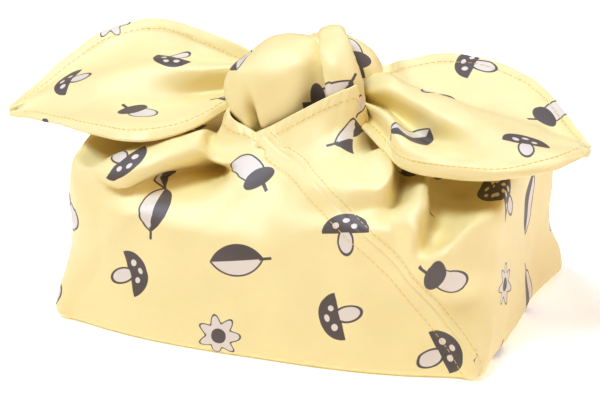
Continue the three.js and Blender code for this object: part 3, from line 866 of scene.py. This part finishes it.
# Seam: the strip is folded over itself and sewn down along a slanting line from the V notch to the foot,
# as a flat felled band with two rows of stitches. The back has the same, turned half round.
SEAM = [
    (-12.4, -29.6, 81.8), (-4, -36, 79), (7, -43, 77), (17, -53, 74), (28.6, -58.5, 67), (41, -64, 60),
    (51, -65, 53), (62, -66.5, 44.5), (71, -65.5, 34), (79, -64, 25), (88, -64, 14), (95.5, -64, 2),
]
# Across the band: the distance from its middle and the height over the cloth. It dips at the two rows of
# stitches and at the folded edge beside its middle
SEAM_PROFILE = [
    (-6.2, -0.3), (-5.7, 0.02), (-5.3, 0.24), (-4.7, 0.12), (-4.1, 0.27), (-1.9, 0.27), (-1.4, 0.12),
    (-1.1, 0.36), (0, 0.36), (2, 0.34), (4.1, 0.3), (4.7, 0.14), (5.3, 0.25), (5.7, 0.02), (6.2, -0.3),
]
SEAM_ROWS = (-4.7, 4.7)
SEAM_SINK = 0.4
SEAM_SAMPLES = 240
SEAM_ROUNDS = 8
SEAM_STRIDE = 1.5


def seam_point(grid, where):
    """A grid's value at places given as (row, column), straight between its points."""
    low = np.floor(where).astype(int)
    share = where - low
    row = np.clip(low[..., 0], 0, len(grid) - 2)
    column = low[..., 1]
    down, right = share[..., :1], share[..., 1:]
    column, following = column % count, (column + 1) % count
    near = grid[row, column] * (1 - right) + grid[row, following] * right
    far = grid[row + 1, column] * (1 - right) + grid[row + 1, following] * right
    return near * (1 - down) + far * down


def seam_place(grid, target, where):
    """The (row, column) places where the grid comes nearest to the target points, from a first guess at
    them. Each round goes the step that closes the gap along the grid's own two slopes, by least squares."""
    for _ in range(SEAM_ROUNDS):
        down = seam_point(grid, where + (0.5, 0)) - seam_point(grid, where - (0.5, 0))
        right = seam_point(grid, where + (0, 0.5)) - seam_point(grid, where - (0, 0.5))
        miss = target - seam_point(grid, where)
        a, b, c = (down * down).sum(-1), (down * right).sum(-1), (right * right).sum(-1)
        d, e = (down * miss).sum(-1), (right * miss).sum(-1)
        whole = np.maximum(a * c - b * b, 1e-9)
        step = np.stack([(c * d - b * e) / whole, (a * e - b * d) / whole], axis=-1)
        where = where + np.clip(step, -SEAM_STRIDE, SEAM_STRIDE)
    return where


# The guide's points are put on the cloth, then the smooth line through them, then the rows of the band
guide = np.array(SEAM)
nearest = np.linalg.norm(outer.reshape(1, -1, 3) - guide[:, None], axis=2).argmin(axis=1)
where = seam_place(outer, guide, np.stack(np.unravel_index(nearest, outer.shape[:2]), axis=1).astype(float))
at = np.linspace(0, len(guide) - 1, SEAM_SAMPLES)
line = curve_through(seam_point(outer, where)[:, None], at)[:, 0]
where = seam_place(outer, line, curve_through(where[:, None], at)[:, 0])
offset, lift = np.array(SEAM_PROFILE).T
side = np.cross(np.gradient(line, axis=0), seam_point(normal, where))
target = line[:, None] + unit_of(side)[:, None] * offset[:, None]
where = seam_place(outer, target, np.repeat(where[:, None], len(offset), axis=1))
for name, turned, side_chart in (("front_seam", 0, 1), ("back_seam", count // 2, 3)):
    there = where + (0, turned)
    base, away = seam_point(outer, there), unit_of(seam_point(normal, there))
    top, bottom = base + away * lift[:, None], base - away * SEAM_SINK
    chart = seam_point(all_charts[side_chart], there)
    seam = cloth_piece(name, top, bottom, chart[None])
    rows = [np.flatnonzero(offset == place)[0] for place in SEAM_ROWS]
    stitches = stitch_rows(name + "_stitches", [(top[:, j], away[:, j]) for j in rows])

# Pointed ends: the strip's two corners, pulled through the knot and left free, hemmed along both edges.
# Each row gives points across the cloth, from its front edge to its back one, at one station from the
# knot to the tip.
LEFT_END = [
    [(-18, 0, 90), (-18, 1, 92), (-18, 2, 94), (-18, 3, 97), (-18, 4, 100), (-18, 5, 103)],
    [(-32, -10, 87), (-33, -6, 90), (-35, 4, 90), (-33, 4, 100), (-35, 12, 100), (-34, 14, 105)],
    [(-45, -32, 82), (-46, -26, 86), (-55, 0, 87), (-53, 2, 98), (-58, 18, 99), (-60, 26, 107)],
    [(-61, -48, 80), (-63, -42, 84), (-74, -12, 85), (-77, 2, 97), (-83, 20, 98), (-90, 35, 107)],
    [(-84, -42, 78), (-87, -36, 82), (-94, -18, 83), (-99, -4, 91), (-105, 14, 92), (-111, 28, 101)],
    [(-113, -28, 76), (-116, -23, 77), (-120, -15, 77), (-124, -6, 81), (-127, 2, 82), (-130, 9, 85)],
    [(-136, -20, 74), (-137, -19, 74), (-137, -18, 74), (-138, -17, 75), (-138, -16, 75), (-139, -15, 75)],
]
RIGHT_END = [
    [(18, -12, 90), (18, -11, 93), (18, -12, 97), (18, -8, 97),
     (18, -6, 99), (18, -2, 101), (18, 2, 102), (18, 4, 103)],
    [(30, -23, 89), (30, -15, 92), (34, -20, 98), (34, -7, 94),
     (38, -12, 103), (33, -2, 107), (31, 4, 105), (29, 8, 107)],
    [(43, -34, 85), (43, -27, 89), (46, -31, 97), (46, -15, 91),
     (56, -20, 100), (43, -5, 105), (43, 6, 100), (33, 22, 106)],
    [(56, -43, 81), (54, -41, 86), (54, -39, 91), (60, -25, 87),
     (74, -27, 96), (58, -8, 103), (62, 4, 97), (51, 34, 107)],
    [(94, -48, 83), (95, -49, 87), (94, -47, 89), (94, -43, 91),
     (92, -34, 95), (79, -12, 99), (81, 2, 95), (74, 36, 104)],
    [(115, -38, 86), (115, -38, 88), (114, -36, 89), (112, -32, 91),
     (108, -22, 92), (103, -10, 93), (97, 8, 92), (93, 28, 100)],
    [(127, -15, 87), (127, -14, 87), (127, -13, 87), (127, -12, 88),
     (126, -11, 88), (126, -10, 88), (126, -9, 88), (126, -8, 88)],
]
# The grid: rows between two stations, columns between the hems and the least room for them, the close rows
# before the tip and the close columns at an edge, as distances from it, and the points that a row is
# measured on
END_ROWS = 12
MIDDLE_COLUMNS = 46
MIDDLE_ROOM = 2
TIP_MARKS = np.array([4, 3, 2.2, 1.6, 1.1, 0.7, 0.4, 0.2, 0.07, 0])
EDGE_MARKS = np.array([0, 0.07, 0.2, 0.4, 0.7, 1.1, 1.7, 2.5, 3.5, 4.4, 5, 5.4, 5.8, 6.2, 6.6, 7.1, 7.7, 8.5])
ROW_SAMPLES = 181


def end_grid(table):
    """A grid over a table's points: smooth curves across each row, then along the stations, spaced
    across by length, closely at the two hems."""
    table = np.array(table, float)
    across = curve_through(table.transpose(1, 0, 2), np.linspace(0, table.shape[1] - 1, ROW_SAMPLES))
    tip = len(table) - 1
    last = np.linalg.norm(table[-1, 0] - table[-2, 0])
    at = np.sort(np.concatenate([np.arange(tip * END_ROWS) / END_ROWS, tip - TIP_MARKS / last]))
    rows = []
    for line in curve_through(across.transpose(1, 0, 2), at):
        length = way_along(line)
        whole = length[-1]
        edge = EDGE_MARKS * min(1, whole / (2 * EDGE_MARKS[-1] + MIDDLE_ROOM))
        middle = np.linspace(edge[-1], whole - edge[-1], MIDDLE_COLUMNS + 2)[1:-1]
        marks = np.concatenate([edge, middle, whole - edge[::-1]])
        rows.append(np.stack([np.interp(marks, length, line[:, k]) for k in range(3)], axis=1))
    return np.array(rows)


def end_piece(name, table, axis, origin, stitched):
    """A strip of cloth as a sheet, its hems and tip rounded, with stitches along its hems if it has them.
    The print's rows run along the axis, and origin is where on the print the strip is cut from."""
    grid = end_grid(table)
    low = way_along(grid, axis=1)
    high = low[:, -1:] - low
    distance = np.minimum(np.minimum(low, high), way_along(grid[::-1])[::-1])
    depth = cloth_depth(distance)[..., None]
    normal = facing(grid, False)
    middle = grid + normal * (pucker(distance, way_along(grid)) + ripple(grid))[..., None]
    outer, inner = middle + normal * depth / 2, middle - normal * depth / 2

    # Its chart: u is the way along the axis, and v adds up what is left of each step across
    axis = unit_of(np.array(axis, float))
    u = grid @ axis
    steps = np.linalg.norm(np.diff(grid, axis=1, prepend=grid[:, :1]), axis=2)
    v = np.sqrt(np.maximum(steps**2 - np.diff(u, axis=1, prepend=u[:, :1]) ** 2, 0)).cumsum(axis=1)
    centre = grid.shape[1] // 2
    v = v - v[:, centre, None] + (grid[:, centre] @ np.cross((0, 0, 1), axis))[:, None]
    chart = (relaxed([np.stack([u, v], axis=-1)], [grid])[0] + np.array(origin)) * 0.001
    end = cloth_piece(name, outer, inner, chart[None])
    if not stitched:
        return end

    # The stitches stop where the strip gets too narrow for two rows
    wide = np.flatnonzero(low[:, -1] > 3 * STITCH_INSET)
    lines = []
    for edge in (low, high):
        column = np.abs(edge - STITCH_INSET).argmin(axis=1)[wide]
        lines.append((outer[wide, column], normal[wide, column]))
        lines.append((inner[wide, column], -normal[wide, column]))
    return end, stitch_rows(name + "_stitches", lines)


left_end, left_stitches = end_piece("left_end", LEFT_END, (1, -0.15, 0), (400, 300), True)
right_end, right_stitches = end_piece("right_end", RIGHT_END, (1, -0.1, 0), (800, 300), True)

# Knot: the strip's two arms wound round each other, as a loop in front, a loop behind it and the core
# between them, with one arm folded to a narrow band that crosses over the top. A squareness below 1 makes
# a lobe boxier, and its print says where on the cloth it is cut from.
LOBES = {
    "front_loop": dict(centre=(-8, -3, 94), radii=(27, 21, 25), squareness=0.78, print=(487, 503)),
    "back_loop": dict(centre=(7, 5, 96), radii=(25, 13, 25), squareness=1.0, print=(540, 620)),
    "knot_core": dict(centre=(5, 2, 104), radii=(12, 12, 18), squareness=1.0, print=(620, 540)),
}
FRONT_LOOP_FOLDS = {
    "pleat": dict(
        width=2.4, cloth=[(-17, -22, 82), (-19, -22, 90), (-21, -20, 99)],
        place=[(-17, -16, 82), (-20, -16.5, 90), (-22, -18.5, 99)],
    ),
    "ridge right of the pleat": dict(
        width=3.5, cloth=[(-13, -24, 84), (-14, -24, 92), (-16, -22, 100)],
        place=[(-14, -25.5, 84), (-16, -25, 92), (-18, -22, 100)],
    ),
    "left lobe": dict(
        width=6, cloth=[(-22, -20, 83), (-27, -17, 90), (-32, -11, 98)],
        place=[(-20, -24, 83), (-28, -21, 89), (-35, -13, 97)],
    ),
    "step over the left lobe": dict(
        width=5, cloth=[(-28, 0, 112), (-27, -7, 111), (-23, -14, 109)],
        place=[(-27, 0, 109), (-26, -7, 107), (-22, -15, 105)],
    ),
    "top": dict(
        width=7, cloth=[(-18, -4, 117), (-8, -6, 118), (4, -6, 117)],
        place=[(-17, -2, 117.5), (-8, -3, 119), (3, -3, 118.5)],
    ),
    "recess at the band": dict(
        width=6, cloth=[(7, -14, 113), (8, -19, 106), (8, -20, 97)],
        place=[(6, -13, 112), (7, -16, 106), (7, -17, 97)],
    ),
}
LOBE_COLUMNS = 160
LOBE_ROWS = 90
LOBE_RIPPLE = 1.3
PRINT_FACE = (0, -0.8, 0.6)
PRINT_STRETCH = 4
BAND = [
    [(17, -13, 92), (15, -20, 92), (22, -22, 94), (29, -16, 94), (27, -9, 94)],
    [(16, -17, 103), (14.6, -24, 103), (21, -24, 106), (27, -17, 106), (25, -10, 105)],
    [(12, -15, 111), (13, -22, 113), (18.5, -21, 115), (24, -14, 113.5), (21, -8, 110)],
    [(8, -9, 116), (8.3, -14, 120), (14, -13, 121.5), (18.7, -7.5, 120.5), (16, -3, 117)],
    [(3, 0, 118), (3, 0, 122), (7.5, 2, 124.5), (11, 4, 123.5), (12, 5, 119)],
    [(-2, 9, 113), (-2, 12, 117), (2, 17, 118), (7, 17, 116), (7, 12, 112)],
    [(-16, 14, 102), (-16, 18, 104), (-10, 24, 104), (-5, 20, 102), (-6, 15, 100)],
]

around = np.linspace(0, 2 * np.pi, LOBE_COLUMNS + 1)[:-1]
up = np.linspace(-np.pi / 2, np.pi / 2, LOBE_ROWS + 1)[:, None]
ball = [np.cos(up) * np.cos(around), np.cos(up) * np.sin(around), np.sin(up) + 0 * around]
unit = np.stack(ball, axis=-1)
for name, lobe in LOBES.items():
    grid = np.sign(unit) * np.abs(unit) ** lobe["squareness"] * lobe["radii"] + lobe["centre"]
    if name == "front_loop":
        grid = folded(grid, FRONT_LOOP_FOLDS, sides=((1, 1, 1),))
    grid = grid + unit * LOBE_RIPPLE * ripple(grid)[..., None]

    # The print lies flat where the lobe faces the front and the sky, and keeps its scale away from there
    toward = unit @ PRINT_FACE
    across = np.stack([unit[..., 0], unit @ np.cross(PRINT_FACE, (1, 0, 0))], axis=-1)
    stretch = np.arccos(np.clip(toward, -1, 1)) / np.maximum(np.linalg.norm(across, axis=-1), 1e-6)
    stretch = np.minimum(stretch, PRINT_STRETCH)[..., None]
    flat = across * stretch * np.mean(lobe["radii"]) + lobe["print"]
    faces = quads_of(numbered(*grid.shape[:2], True))
    thing = piece(name, grid.reshape(-1, 3), faces, flat.reshape(-1, 2)[faces.ravel()] * 0.001, cloth)
    close_poles(thing.data)

band = end_piece("band", BAND, (0, 0, 1), (100, 100), False)
